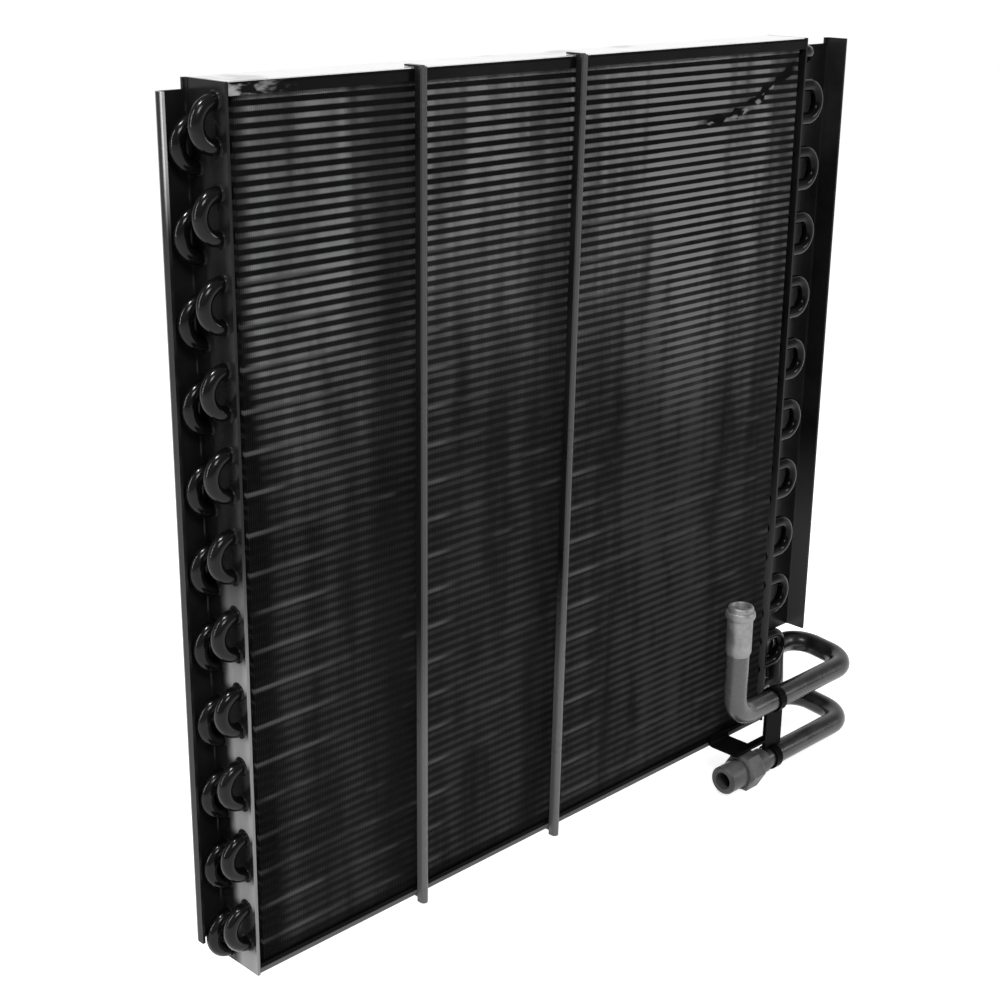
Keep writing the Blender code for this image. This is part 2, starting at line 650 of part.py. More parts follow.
def build():
    clear_scene()
    parts = new_collection("Hydraulic oil cooler")
    cutters = new_collection("Cutters")
    paint = (0.010, 0.010, 0.011)
    build_hairpins(parts, new_material("Painted tube", paint, 0.25, 0.0))
    build_return_bends(parts, new_material("Painted bend", paint, 0.25, 0.0))
    build_fin_pack(parts, cutters, new_material("Painted fins", (0.020, 0.020, 0.021), 0.40, 0.0))
    frame = new_material("Painted frame", paint, 0.20, 0.0)
    build_left_sheet(parts, cutters, frame)
    build_right_sheet(parts, cutters, frame)
    build_channels(parts, frame)
    build_straps(parts, cutters, new_material("Painted strap", paint, 0.20, 0.0))
    pipes = new_material("Painted pipe", (0.020, 0.020, 0.021), 0.25, 0.0)
    build_pipes(parts, pipes)
    build_reducers(parts, pipes)
    metal = new_material("Bare steel", (0.32, 0.32, 0.32), 0.35, 0.9)
    build_hose_stub(parts, metal)
    build_fitting(parts, cutters, new_material("Painted fitting", (0.045, 0.045, 0.047), 0.35, 0.0))
    bracket = new_material("Painted bracket", paint, 0.30, 0.0)
    build_bracket(parts, cutters, bracket)
    build_bands(parts, cutters, bracket)


build()
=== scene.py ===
import math

import bmesh
import bpy
from mathutils import Matrix, Vector, noise


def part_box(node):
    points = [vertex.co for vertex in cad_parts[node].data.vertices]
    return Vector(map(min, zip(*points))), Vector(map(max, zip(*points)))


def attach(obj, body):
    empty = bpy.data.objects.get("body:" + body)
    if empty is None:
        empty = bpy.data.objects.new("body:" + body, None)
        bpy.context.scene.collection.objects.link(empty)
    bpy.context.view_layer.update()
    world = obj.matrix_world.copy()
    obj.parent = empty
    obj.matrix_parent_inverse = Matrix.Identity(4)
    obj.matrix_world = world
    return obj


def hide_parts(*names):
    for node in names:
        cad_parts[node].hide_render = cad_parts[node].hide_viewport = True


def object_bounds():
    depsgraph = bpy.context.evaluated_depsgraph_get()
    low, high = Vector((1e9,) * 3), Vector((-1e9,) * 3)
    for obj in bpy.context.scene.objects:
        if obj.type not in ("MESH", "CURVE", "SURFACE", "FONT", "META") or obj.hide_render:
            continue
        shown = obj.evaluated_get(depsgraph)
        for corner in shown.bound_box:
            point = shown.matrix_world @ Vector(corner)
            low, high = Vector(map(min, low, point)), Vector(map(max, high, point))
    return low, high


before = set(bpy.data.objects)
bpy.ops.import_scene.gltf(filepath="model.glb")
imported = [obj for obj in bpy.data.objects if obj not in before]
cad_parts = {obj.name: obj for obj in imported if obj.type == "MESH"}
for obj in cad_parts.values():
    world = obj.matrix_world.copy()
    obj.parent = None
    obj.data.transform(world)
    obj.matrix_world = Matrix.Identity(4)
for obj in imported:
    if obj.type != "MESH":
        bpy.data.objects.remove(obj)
cad_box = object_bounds()

# Studio: a pale floor under the pipes, a pale wall behind, and four soft lamps.
# The cooler stands in the middle and is seen from its front left, a little
# from above.
FLOOR_GAP = 0.001
FLOOR_SIZE = 60.0
WALL_DISTANCE = 5.0
WALL_HEIGHT = 7.0
QUARTER_TURN = math.radians(90)
STUDIO_WHITE = (0.62, 0.62, 0.62, 1.0)
STUDIO_ROUGH = 0.9
STUDIO_GLOW = 0.84
DIM_ROOM = (0.30, 0.30, 0.31, 1.0)
CORE_MIDDLE = Vector((0.0, 0.0, 0.28))
LAMPS = (
    ("top_lamp", (-0.9, 0.0, 2.3), (0.32, 0.28), 34.0),
    ("left_lamp", (-2.0, 0.6, 1.1), (0.10, 1.7), 22.0),
    ("front_lamp", (-1.2, -1.7, 2.0), (0.8, 0.6), 26.0),
    ("right_lamp", (1.62, -1.66, 0.88), (0.6, 0.6), 12.0))
CAMERA_PLACE = (-0.854, -0.8271, 0.6567)
CAMERA_AIM = (0.6738, 0.6637, -0.3248)
CAMERA_ROLL = math.radians(0.757)
CAMERA_LENS = 63.0
CAMERA_SENSOR = 36.0
CAMERA_NEAREST = 0.02

scene = bpy.context.scene
scene.view_settings.view_transform = "Standard"


def shader_of(material):
    return material.node_tree.nodes["Principled BSDF"]


def socket_link(material, source, target):
    material.node_tree.links.new(source, target)


def white_to_the_eye(name):
    """A matt white that the camera and reflections see as plain white."""
    material = bpy.data.materials.new(name)
    material.use_nodes = True
    nodes = material.node_tree.nodes
    shader = shader_of(material)
    shader.inputs["Base Color"].default_value = STUDIO_WHITE
    shader.inputs["Roughness"].default_value = STUDIO_ROUGH
    shader.inputs["Specular IOR Level"].default_value = 0.0
    glow = nodes.new("ShaderNodeEmission")
    glow.inputs["Strength"].default_value = STUDIO_GLOW
    add = nodes.new("ShaderNodeAddShader")
    path = nodes.new("ShaderNodeLightPath")
    mirrored = nodes.new("ShaderNodeMath")
    mirrored.operation = "MAXIMUM"
    seen = nodes.new("ShaderNodeMath")
    seen.operation = "MAXIMUM"
    mix = nodes.new("ShaderNodeMixShader")
    socket_link(material, path.outputs["Is Glossy Ray"], mirrored.inputs[0])
    socket_link(material, path.outputs["Is Transmission Ray"], mirrored.inputs[1])
    socket_link(material, path.outputs["Is Camera Ray"], seen.inputs[0])
    socket_link(material, mirrored.outputs[0], seen.inputs[1])
    socket_link(material, shader.outputs[0], add.inputs[0])
    socket_link(material, glow.outputs[0], add.inputs[1])
    socket_link(material, seen.outputs[0], mix.inputs["Fac"])
    socket_link(material, shader.outputs[0], mix.inputs[1])
    socket_link(material, add.outputs[0], mix.inputs[2])
    socket_link(material, mix.outputs[0], nodes["Material Output"].inputs["Surface"])
    return material


def stage_plane(name, width, height, placing, material):
    shape = bmesh.new()
    bmesh.ops.create_grid(shape, x_segments=1, y_segments=1, size=0.5)
    bmesh.ops.scale(shape, vec=(width, height, 1.0), verts=shape.verts)
    mesh = bpy.data.meshes.new(name)
    shape.to_mesh(mesh)
    shape.free()
    mesh.materials.append(material)
    plane = bpy.data.objects.new(name, mesh)
    plane.matrix_world = placing
    scene.collection.objects.link(plane)


studio_white = white_to_the_eye("Studio white")
floor_z = cad_box[0][2] - FLOOR_GAP
stage_plane("studio_floor", FLOOR_SIZE, FLOOR_SIZE, Matrix.Translation((0, 0, floor_z)), studio_white)
wall_turn = Matrix.Rotation(-QUARTER_TURN / 2, 4, "Z") @ Matrix.Rotation(QUARTER_TURN, 4, "X")
wall_place = Matrix.Translation((WALL_DISTANCE, WALL_DISTANCE, WALL_HEIGHT / 2 + floor_z))
stage_plane("studio_wall", FLOOR_SIZE, WALL_HEIGHT, wall_place @ wall_turn, studio_white)

world = bpy.data.worlds.new("Dim room")
scene.world = world
world.use_nodes = True
world.node_tree.nodes["Background"].inputs["Color"].default_value = DIM_ROOM

for name, place, (width, height), watts in LAMPS:
    lamp = bpy.data.lights.new(name, "AREA")
    lamp.shape = "RECTANGLE"
    lamp.size = width
    lamp.size_y = height
    lamp.energy = watts
    lamp_object = bpy.data.objects.new(name, lamp)
    lamp_object.location = place
    lamp_object.rotation_euler = (CORE_MIDDLE - Vector(place)).to_track_quat("-Z", "Y").to_euler()
    scene.collection.objects.link(lamp_object)

camera = bpy.data.cameras.new("Camera")
camera.sensor_width = CAMERA_SENSOR
camera.lens = CAMERA_LENS
camera.clip_start = CAMERA_NEAREST
camera_object = bpy.data.objects.new("Camera", camera)
aim = Vector(CAMERA_AIM).to_track_quat("-Z", "Y").to_matrix().to_4x4()
camera_object.matrix_world = Matrix.Translation(CAMERA_PLACE) @ aim @ Matrix.Rotation(CAMERA_ROLL, 4, "Z")
scene.collection.objects.link(camera_object)
scene.camera = camera_object

# Tube sheets and bottom channel: steel plate folded at the press and joined to
# one frame. It is stoved in a black gloss with a faint orange peel. Low on the
# sheets a lighter grey is painted as a painted reflection of the white floor, and
# the bottom channel's lowest edge carries a painted highlight.
PAINT_BLACK = (0.0065, 0.0065, 0.0070, 1.0)
PAINT_GREY = (0.0200, 0.0200, 0.0210, 1.0)
PATCH_DETAIL = 6.0
PATCH_BREAK = 0.65
PATCH_TONES = (0.35, 0.75)
PATCH_ROUGHS = (0.3, 0.7)
PEEL_DETAIL = 3.0
PEEL_HEIGHT = 0.001
WELD_GAP = 1e-6
SHARP_EDGE = math.radians(35)
SHEET_EDGE = 0.0004
FRAME_ROUGH = (0.12, 0.26)
FRAME_GLOSS = 0.10
LEFT_GLOSS = 0.14
SHEET_PAINTED_REFLECTION = (0.260, 0.260, 0.262, 1.0)
SHEET_REFLECTION_HEIGHT = (0.30, 0.19)
SHEET_REFLECTION_DEPTH = (-0.013, -0.024)
SHEET_EDGE_DEPTH = (-0.0370, -0.0376)
BEND_PITCH = 0.0508
BETWEEN_BENDS = 0.5110
REFLECTION_BETWEEN = (-0.10, 0.75)


def patchy_finish(name, dark, light, low_rough, high_rough, gloss, peel=0.06, grain=260.0, patch=14.0):
    """Paint or bare metal that wanders in patches between two tones and two roughnesses."""
    material = bpy.data.materials.new(name)
    material.use_nodes = True
    nodes = material.node_tree.nodes
    shader = shader_of(material)
    shader.inputs["Specular IOR Level"].default_value = gloss
    place = nodes.new("ShaderNodeTexCoord")
    patches = nodes.new("ShaderNodeTexNoise")
    patches.inputs["Scale"].default_value = patch
    patches.inputs["Detail"].default_value = PATCH_DETAIL
    patches.inputs["Roughness"].default_value = PATCH_BREAK
    socket_link(material, place.outputs["Object"], patches.inputs["Vector"])
    tone = nodes.new("ShaderNodeValToRGB")
    for stop, edge, colour in zip(tone.color_ramp.elements, PATCH_TONES, (dark, light)):
        stop.position = edge
        stop.color = colour
    socket_link(material, patches.outputs["Fac"], tone.inputs["Fac"])
    socket_link(material, tone.outputs["Color"], shader.inputs["Base Color"])
    rough = nodes.new("ShaderNodeMapRange")
    rough.inputs["From Min"].default_value = PATCH_ROUGHS[0]
    rough.inputs["From Max"].default_value = PATCH_ROUGHS[1]
    rough.inputs["To Min"].default_value = low_rough
    rough.inputs["To Max"].default_value = high_rough
    socket_link(material, patches.outputs["Fac"], rough.inputs["Value"])
    socket_link(material, rough.outputs["Result"], shader.inputs["Roughness"])
    skin = nodes.new("ShaderNodeTexNoise")
    skin.inputs["Scale"].default_value = grain
    skin.inputs["Detail"].default_value = PEEL_DETAIL
    socket_link(material, place.outputs["Object"], skin.inputs["Vector"])
    bump = nodes.new("ShaderNodeBump")
    bump.inputs["Strength"].default_value = peel
    bump.inputs["Distance"].default_value = PEEL_HEIGHT
    socket_link(material, skin.outputs["Fac"], bump.inputs["Height"])
    socket_link(material, bump.outputs["Normal"], shader.inputs["Normal"])
    return material


def one_material(obj, material):
    obj.data.materials.clear()
    obj.data.materials.append(material)
    return obj


def soften_edges(node, width):
    """Weld a CAD node's split corners and round its sharp edges a little."""
    weld = node.modifiers.new("Weld", "WELD")
    weld.merge_threshold = WELD_GAP
    bevel = node.modifiers.new("Soft edges", "BEVEL")
    bevel.width = width
    bevel.segments = 2
    bevel.limit_method = "ANGLE"
    bevel.angle_limit = SHARP_EDGE
    bevel.harden_normals = True


def object_place(material):
    """Separate X, Y and Z of the place on the object."""
    nodes = material.node_tree.nodes
    parts = nodes.new("ShaderNodeSeparateXYZ")
    socket_link(material, nodes["Texture Coordinate"].outputs["Object"], parts.inputs[0])
    return parts.outputs


def smooth_share(material, source, low, high):
    """0 where the source is at the low value, 1 at the high one, and soft between."""
    share = material.node_tree.nodes.new("ShaderNodeMapRange")
    share.interpolation_type = "SMOOTHSTEP"
    share.inputs["From Min"].default_value = low
    share.inputs["From Max"].default_value = high
    socket_link(material, source, share.inputs["Value"])
    return share.outputs["Result"]


def facing_share(material, axis, low, high):
    """How far a surface faces one way, from 0 at the low to 1 at the high share."""
    facing = material.node_tree.nodes.new("ShaderNodeNewGeometry")
    parts = material.node_tree.nodes.new("ShaderNodeSeparateXYZ")
    socket_link(material, facing.outputs["Normal"], parts.inputs[0])
    return smooth_share(material, parts.outputs[axis], low, high)


def reckon(material, operation, *terms):
    """One sum in a paint; a term is a number or a node's output."""
    node = material.node_tree.nodes.new("ShaderNodeMath")
    node.operation = operation
    for socket, term in zip(node.inputs, terms):
        if isinstance(term, float):
            socket.default_value = term
        else:
            socket_link(material, term, socket)
    return node.outputs[0]


def all_of(material, first, *others):
    """The product of all the shares."""
    total = first
    for share in others:
        total = reckon(material, "MULTIPLY", total, share)
    return total


def mixed_colour(material, share, one, two):
    """A colour that goes from one to two; each is a colour or a node's output."""
    mix = material.node_tree.nodes.new("ShaderNodeMix")
    mix.data_type = "RGBA"
    socket_link(material, share, mix.inputs["Factor"])
    for socket, colour in ((mix.inputs[6], one), (mix.inputs[7], two)):
        if isinstance(colour, tuple):
            socket.default_value = colour
        else:
            socket_link(material, colour, socket)
    return mix.outputs[2]


def tinted(material, share, colour):
    """Lays a colour over the paint where the share is 1."""
    socket = shader_of(material).inputs["Base Color"]
    under = socket.links[0].from_socket
    socket_link(material, mixed_colour(material, share, under, colour), socket)


left_paint = patchy_finish("Left sheet paint", PAINT_BLACK, PAINT_GREY, *FRAME_ROUGH, LEFT_GLOSS)
left_place = object_place(left_paint)
# Painted reflection: low on the sheet's front part, between the bends and on its front edge, a lighter grey
# stands in for the white floor mirrored in the gloss.
reflection_low = smooth_share(left_paint, left_place["Z"], *SHEET_REFLECTION_HEIGHT)
reflection_front = smooth_share(left_paint, left_place["Y"], *SHEET_REFLECTION_DEPTH)
from_gap = reckon(left_paint, "SUBTRACT", left_place["Z"], BETWEEN_BENDS)
gap_turn = reckon(left_paint, "MULTIPLY", from_gap, 2 * math.pi / BEND_PITCH)
between = reckon(
    left_paint, "MAXIMUM",
    smooth_share(left_paint, reckon(left_paint, "COSINE", gap_turn), *REFLECTION_BETWEEN),
    smooth_share(left_paint, left_place["Y"], *SHEET_EDGE_DEPTH))
tinted(left_paint, all_of(left_paint, reflection_low, reflection_front, between), SHEET_PAINTED_REFLECTION)

# A bright line is painted on the outer lip of the left sheet near the top, as a painted glint.
LINE_SIDE = (-0.286, -0.2895)
LINE_MIDDLE = -0.0095
LINE_WIDTH = (0.0040, 0.0018)
LINE_HEIGHT = (0.470, 0.520)
LINE_GLINT = (0.550, 0.550, 0.550, 1.0)
line_off = reckon(left_paint, "ABSOLUTE", reckon(left_paint, "SUBTRACT", left_place["Y"], LINE_MIDDLE))
painted_glint_line = all_of(
    left_paint, smooth_share(left_paint, left_place["X"], *LINE_SIDE),
    smooth_share(left_paint, line_off, *LINE_WIDTH), smooth_share(left_paint, left_place["Z"], *LINE_HEIGHT))
tinted(left_paint, painted_glint_line, LINE_GLINT)

# Low down, the right sheet's lip is painted lighter on the side that faces the fins, as a painted reflection
# of the white floor.
LIP_PAINTED_REFLECTION = (0.095, 0.095, 0.097, 1.0)
LIP_REFLECTION_HEIGHT = (0.24, 0.12)
LIP_FACING = (-0.80, -0.97)
right_paint = patchy_finish("Right sheet paint", PAINT_BLACK, PAINT_GREY, *FRAME_ROUGH, FRAME_GLOSS)
lip_face = facing_share(right_paint, "X", *LIP_FACING)
lip_low = smooth_share(right_paint, object_place(right_paint)["Z"], *LIP_REFLECTION_HEIGHT)
tinted(right_paint, all_of(right_paint, lip_face, lip_low), LIP_PAINTED_REFLECTION)

# The bottom channel's lips are in the dark, and along their lowest millimetre a light grey is painted as a
# painted highlight.
LIP_BLACK = (0.0030, 0.0030, 0.0030, 1.0)
LIP_WORN = (0.0042, 0.0042, 0.0044, 1.0)
FOOT_ROUGH = (0.20, 0.34)
FOOT_GLOSS = 0.02
FOOT_PAINTED_HIGHLIGHT = (0.135, 0.135, 0.136, 1.0)
FOOT_HIGHLIGHT_HEIGHT = (0.0010, 0.0002)
foot_paint = patchy_finish("Bottom channel paint", LIP_BLACK, LIP_WORN, *FOOT_ROUGH, FOOT_GLOSS)
tinted(foot_paint, smooth_share(foot_paint, object_place(foot_paint)["Z"], *FOOT_HIGHLIGHT_HEIGHT), FOOT_PAINTED_HIGHLIGHT)
sheets = (("left_tube_sheet", left_paint), ("right_tube_sheet", right_paint), ("bottom_channel", foot_paint))
for name, paint in sheets:
    soften_edges(one_material(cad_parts[name], paint), SHEET_EDGE)

# Top channel: the same folded steel as the bottom one, laid over the fins. Its
# web is painted near-white and metallic, as a painted reflection of the white
# room seen from a low eye, with a few duller spots in it, while the lips stay black.
TOP_ROUGH = (0.14, 0.28)
TOP_GLOSS = 0.05
WEB_FACING = (0.80, 0.97)
WEB_PAINTED_REFLECTION = (0.90, 0.90, 0.90, 1.0)
WEB_REFLECTION_DULL = (0.50, 0.50, 0.50, 1.0)
WEB_SPOTS = (0.30, 0.46)
WEB_SPOT_GRAIN = (24.0, (1.0, 1.0, 1.0), 5.0)


def paint_noise(material, scale, stretch, detail):
    """Noise over the object, drawn out along the axes with a low stretch."""
    nodes = material.node_tree.nodes
    spread = nodes.new("ShaderNodeMapping")
    spread.inputs["Scale"].default_value = stretch
    socket_link(material, nodes["Texture Coordinate"].outputs["Object"], spread.inputs["Vector"])
    grain = nodes.new("ShaderNodeTexNoise")
    grain.inputs["Scale"].default_value = scale
    grain.inputs["Detail"].default_value = detail
    socket_link(material, spread.outputs["Vector"], grain.inputs["Vector"])
    return grain.outputs["Fac"]


top_paint = patchy_finish("Top channel paint", LIP_BLACK, PAINT_BLACK, *TOP_ROUGH, TOP_GLOSS)
web_share = facing_share(top_paint, "Z", *WEB_FACING)
spot_share = smooth_share(top_paint, paint_noise(top_paint, *WEB_SPOT_GRAIN), *WEB_SPOTS)
tinted(top_paint, web_share, mixed_colour(top_paint, spot_share, WEB_REFLECTION_DULL, WEB_PAINTED_REFLECTION))
socket_link(top_paint, web_share, shader_of(top_paint).inputs["Metallic"])
soften_edges(one_material(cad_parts["top_channel"], top_paint), SHEET_EDGE)

# The left end of the front lip is painted bright in patches, as a painted highlight.
FLANGE_HIGHLIGHT_REACH = (-0.215, -0.262)
FLANGE_HIGHLIGHT_PATCHES = (0.46, 0.70)
FLANGE_HIGHLIGHT_GRAIN = (1.0, (90.0, 90.0, 260.0), 2.0)
FLANGE_HIGHLIGHT = (0.380, 0.380, 0.380, 1.0)
highlight_patch = smooth_share(top_paint, paint_noise(top_paint, *FLANGE_HIGHLIGHT_GRAIN), *FLANGE_HIGHLIGHT_PATCHES)
highlight_end = smooth_share(top_paint, object_place(top_paint)["X"], *FLANGE_HIGHLIGHT_REACH)
front_lip = facing_share(top_paint, "Y", *LIP_FACING)
tinted(top_paint, all_of(top_paint, front_lip, highlight_patch, highlight_end), FLANGE_HIGHLIGHT)

# Fins: thin aluminium plates, pressed with ripples and slipped over the tubes,
# eighteen to the inch. They are painted with the rest, and the upper slopes of the
# ripples are painted lighter, as a painted highlight. A knock at the top right has
# bent some of them.
FIN_PITCH = 0.0014
FIN_THICKNESS = 0.00020
FIN_RIPPLES = 88
FIN_WAVE = 0.0007
FIN_EDGE_WAVE = 0.0006
FIN_SWAY = 0.00035
FIN_SWAY_ACROSS = 22
FIN_SWAY_UP = 5
KNOCK = ((0.257, 0.541), (0.240, 0.530), (0.215, 0.520), (0.185, 0.511), (0.148, 0.506))
KNOCK_WIDTH = 0.0048
KNOCK_PUSH = 0.0004
KNOCK_DEPTH = 0.0012
FIN_BANKS = ("fins_left", "fins_middle_left", "fins_middle_right", "fins_right")
fin_low, fin_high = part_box("fin_pack")


def knock_at(x, z):
    """How strongly the knock bends the fins at one place of the air face."""
    place = Vector((x, z))
    nearest = 1.0
    for start, end in zip(KNOCK, KNOCK[1:]):
        start = Vector(start)
        along = Vector(end) - start
        share = min(1.0, max(0.0, (place - start).dot(along) / along.length_squared))
        nearest = min(nearest, (place - start - along * share).length)
    return math.exp(-(nearest / KNOCK_WIDTH) ** 2)


def fin_bank(name, first, last):
    """Fins from the first to the last, each a sheet with ripples across it."""
    step = (fin_high.z - fin_low.z) / (2 * FIN_RIPPLES)
    points = []
    faces = []
    for fin in range(first, last):
        x = fin_low.x + FIN_PITCH * (fin + 0.5)
        start = len(points)
        for row in range(2 * FIN_RIPPLES + 1):
            z = fin_low.z + step * row
            crest = row % 2
            ripple = FIN_WAVE * (crest - 0.5)
            sway = FIN_SWAY * noise.noise(Vector((x * FIN_SWAY_ACROSS, 0.0, z * FIN_SWAY_UP)))
            knock = knock_at(x, z)
            front = fin_low.y + FIN_EDGE_WAVE * crest
            points.append((x + ripple + sway + KNOCK_PUSH * knock, front + KNOCK_DEPTH * knock, z))
            points.append((x + ripple, fin_high.y - FIN_EDGE_WAVE * crest, z))
        for row in range(2 * FIN_RIPPLES):
            corner = start + 2 * row
            faces.append((corner, corner + 1, corner + 3, corner + 2))
    mesh = bpy.data.meshes.new(name)
    mesh.from_pydata(points, [], faces)
    obj = bpy.data.objects.new(name, mesh)
    scene.collection.objects.link(obj)
    sheet = obj.modifiers.new("Fin stock", "SOLIDIFY")
    sheet.thickness = FIN_THICKNESS
    sheet.offset = 0.0
    return obj


def settle(piece, slot, *nodes):
    """Ride on the one body and stand for the nodes. The slot is not used."""
    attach(piece, "root")
    if nodes:
        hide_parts(*nodes)


# The fins' shine is painted light and shade. The painted highlight is strong in the
# upper third and dull below, wanders in patches and streaks, and has a painted glow
# in the right bay. A fade rise lifts the height at which the shine fades by its third
# number, from its first x to its second. A bay end is the x of a strap or sheet,
# with how dark the painted shadow on the fins is to the left of it. Near the left
# sheet and along the foot the fins are painted darker, as painted shade.
FIN_DARK = (0.006, 0.006, 0.006, 1.0)
FIN_DARK_GREY = (0.019, 0.019, 0.019, 1.0)
FIN_PAINTED_SHINE_HIGH = (0.430, 0.430, 0.428, 1.0)
FIN_PAINTED_SHINE_LOW = (0.076, 0.076, 0.077, 1.0)
FIN_ROUGH = (0.35, 0.50)
FIN_GLOSS = 0.10
FIN_FRONT = (-0.024, -0.030)
FIN_SLOPE = (0.00, 0.22)
FIN_CREST = (-0.40, 0.80)
FIN_FADE = (0.27, 0.46)
FIN_FADE_RISES = ((-0.132, -0.124, 0.045), (0.012, 0.080, -0.020), (0.095, 0.135, -0.045))
FIN_LOW_DULL = 0.24
FIN_PATCH_GRAIN = (55.0, (1.0, 0.2, 0.30), 4.0)
FIN_PATCH_GAIN = (2.4, -0.25)
FIN_STREAK_GRAIN = (75.0, (1.0, 0.2, 0.05), 3.0)
FIN_STREAK_GAIN = 2.0
GLOW_RISE = (0.050, 0.120)
GLOW_FALL = (0.190, 0.158)
GLOW_GAIN = (0.62, 0.80)
BAY_ENDS = ((-0.1280, 0.80), (0.0110, 0.50), (0.2660, 0.45))
BAY_SHADE = (-0.052, -0.024)
BAY_CLOSE = (0.001, -0.001)
SHEET_SHADE = (-0.266, -0.252)
SHEET_SHADE_REACH = 0.014
FOOT_SHADE = (0.004, 0.012)
fin_paint = patchy_finish("Fin paint", FIN_DARK, FIN_DARK_GREY, *FIN_ROUGH, FIN_GLOSS, peel=0.0)
fin_place = object_place(fin_paint)


def fin_sum(operation, *terms):
    return reckon(fin_paint, operation, *terms)


def fin_share(source, edges):
    return smooth_share(fin_paint, source, *edges)


at_front = fin_share(fin_place["Y"], FIN_FRONT)
glow = all_of(fin_paint, fin_share(fin_place["X"], GLOW_RISE), fin_share(fin_place["X"], GLOW_FALL))
band = fin_sum("MULTIPLY_ADD", glow, *GLOW_GAIN)
for bay_end, darkness in BAY_ENDS:
    to_end = fin_sum("SUBTRACT", fin_place["X"], bay_end)
    near_end = all_of(fin_paint, fin_share(to_end, BAY_SHADE), fin_share(to_end, BAY_CLOSE), at_front)
    band = fin_sum("MULTIPLY", band, fin_sum("MULTIPLY_ADD", near_end, -darkness, 1.0))
patches = fin_sum("MULTIPLY_ADD", paint_noise(fin_paint, *FIN_PATCH_GRAIN), *FIN_PATCH_GAIN)
streaks = fin_sum("MULTIPLY", paint_noise(fin_paint, *FIN_STREAK_GRAIN), FIN_STREAK_GAIN)

ripple_pitch = (fin_high.z - fin_low.z) / FIN_RIPPLES
off_slope = fin_sum("SUBTRACT", fin_place["Z"], fin_low.z + ripple_pitch / 4)
slope_wave = fin_sum("COSINE", fin_sum("MULTIPLY", off_slope, 2 * math.pi / ripple_pitch))
slope = all_of(fin_paint, facing_share(fin_paint, "Z", *FIN_SLOPE), fin_share(slope_wave, FIN_CREST))
fade_height = fin_place["Z"]
for rise_start, rise_end, rise in FIN_FADE_RISES:
    past_rise = fin_share(fin_place["X"], (rise_start, rise_end))
    fade_height = fin_sum("SUBTRACT", fade_height, fin_sum("MULTIPLY", past_rise, rise))
fade = fin_share(fade_height, FIN_FADE)
slope = fin_sum("MAXIMUM", slope, fin_sum("MULTIPLY_ADD", fade, -FIN_LOW_DULL, FIN_LOW_DULL))
shade_reach = fin_sum("MULTIPLY_ADD", fade, SHEET_SHADE_REACH, -SHEET_SHADE_REACH)
by_sheet = fin_share(fin_sum("ADD", fin_place["X"], shade_reach), SHEET_SHADE)
by_foot = fin_share(fin_place["Z"], FOOT_SHADE)
# Painted light: the share of the fins that takes the painted shine colour.
lit = all_of(fin_paint, slope, band, patches, streaks, by_sheet, by_foot)
tinted(fin_paint, lit, mixed_colour(fin_paint, fade, FIN_PAINTED_SHINE_LOW, FIN_PAINTED_SHINE_HIGH))

# On the lower fins a bright line is painted at each tube of the front row, as a
# painted highlight of the tube, most of all just right of the sheet and of each
# strap, where the collars round the tubes lie open.
TUBE_PITCH = 0.0254
TUBE_LEVEL = 0.55026
LEVEL_WIDTH = (0.90, 0.99)
LEVEL_FADE = (0.49, 0.44)
LEVEL_GRAIN = (16.0, (1.0, 0.2, 0.8), 3.0)
LEVEL_BREAKS = (0.30, 0.62)
LEVEL_OPEN = (0.50, 0.66)
LEVEL_OPEN_SHARE = 0.4
LEVEL_STARTS = ((-0.2640, 0.085), (-0.1235, 0.034), (0.0200, 0.046))
LEVEL_FULL_REACH = 0.4
LEVEL_BEGIN = (-0.001, 0.001)
LEVEL_HIGHLIGHT = (0.185, 0.185, 0.185, 1.0)
off_level = fin_sum("SUBTRACT", fin_place["Z"], TUBE_LEVEL)
level_wave = fin_sum("COSINE", fin_sum("MULTIPLY", off_level, 2 * math.pi / TUBE_PITCH))
level_grain = paint_noise(fin_paint, *LEVEL_GRAIN)
open_place = fin_sum("MULTIPLY", fin_share(level_grain, LEVEL_OPEN), LEVEL_OPEN_SHARE)
for level_start, reach in LEVEL_STARTS:
    from_start = fin_sum("SUBTRACT", fin_place["X"], level_start)
    in_reach = fin_share(from_start, (reach, LEVEL_FULL_REACH * reach))
    past_start = fin_share(from_start, LEVEL_BEGIN)
    open_place = fin_sum("MAXIMUM", open_place, all_of(fin_paint, in_reach, past_start, at_front))
level_highlight = all_of(
    fin_paint, fin_share(level_wave, LEVEL_WIDTH), open_place,
    fin_share(fin_place["Z"], LEVEL_FADE), fin_share(level_grain, LEVEL_BREAKS))
tinted(fin_paint, level_highlight, LEVEL_HIGHLIGHT)

# The knock shows as a ragged crease that climbs to the right, painted dark as a
# painted shade, with torn edges of bright metal under it.
CREASE_START = 0.148
CREASE_FOOT = 0.506
CREASE_CLIMB = 0.030
CREASE_BEND = 2.67
CREASE_WIDTH = (0.0026, 0.0012)
CREASE_LEFT = (0.144, 0.160)
CREASE_RIGHT = (0.262, 0.256)
CREASE_WANDER_GRAIN = (70.0, (1.0, 0.2, 0.6), 2.0)
CREASE_WANDER = (0.0110, -0.0055)
CREASE_RAGGED_GRAIN = (48.0, (1.0, 0.2, 1.6), 2.0)
CREASE_RAGGED = (0.0160, -0.0068)
TORN_TOP = (-0.0008, -0.0022)
TORN_FOOT = (-0.0064, -0.0040)
TORN_LEFT = (0.138, 0.146)
TORN_RIGHT = (0.262, 0.255)
TORN_GRAIN = (80.0, (1.0, 0.2, 2.2), 1.0)
TORN_SPOTS = (0.53, 0.62)
TORN_BRIGHT = (0.420, 0.420, 0.420, 1.0)
along_crease = fin_sum("SUBTRACT", fin_place["X"], CREASE_START)
steepness = fin_sum("MULTIPLY_ADD", along_crease, CREASE_BEND, CREASE_CLIMB)
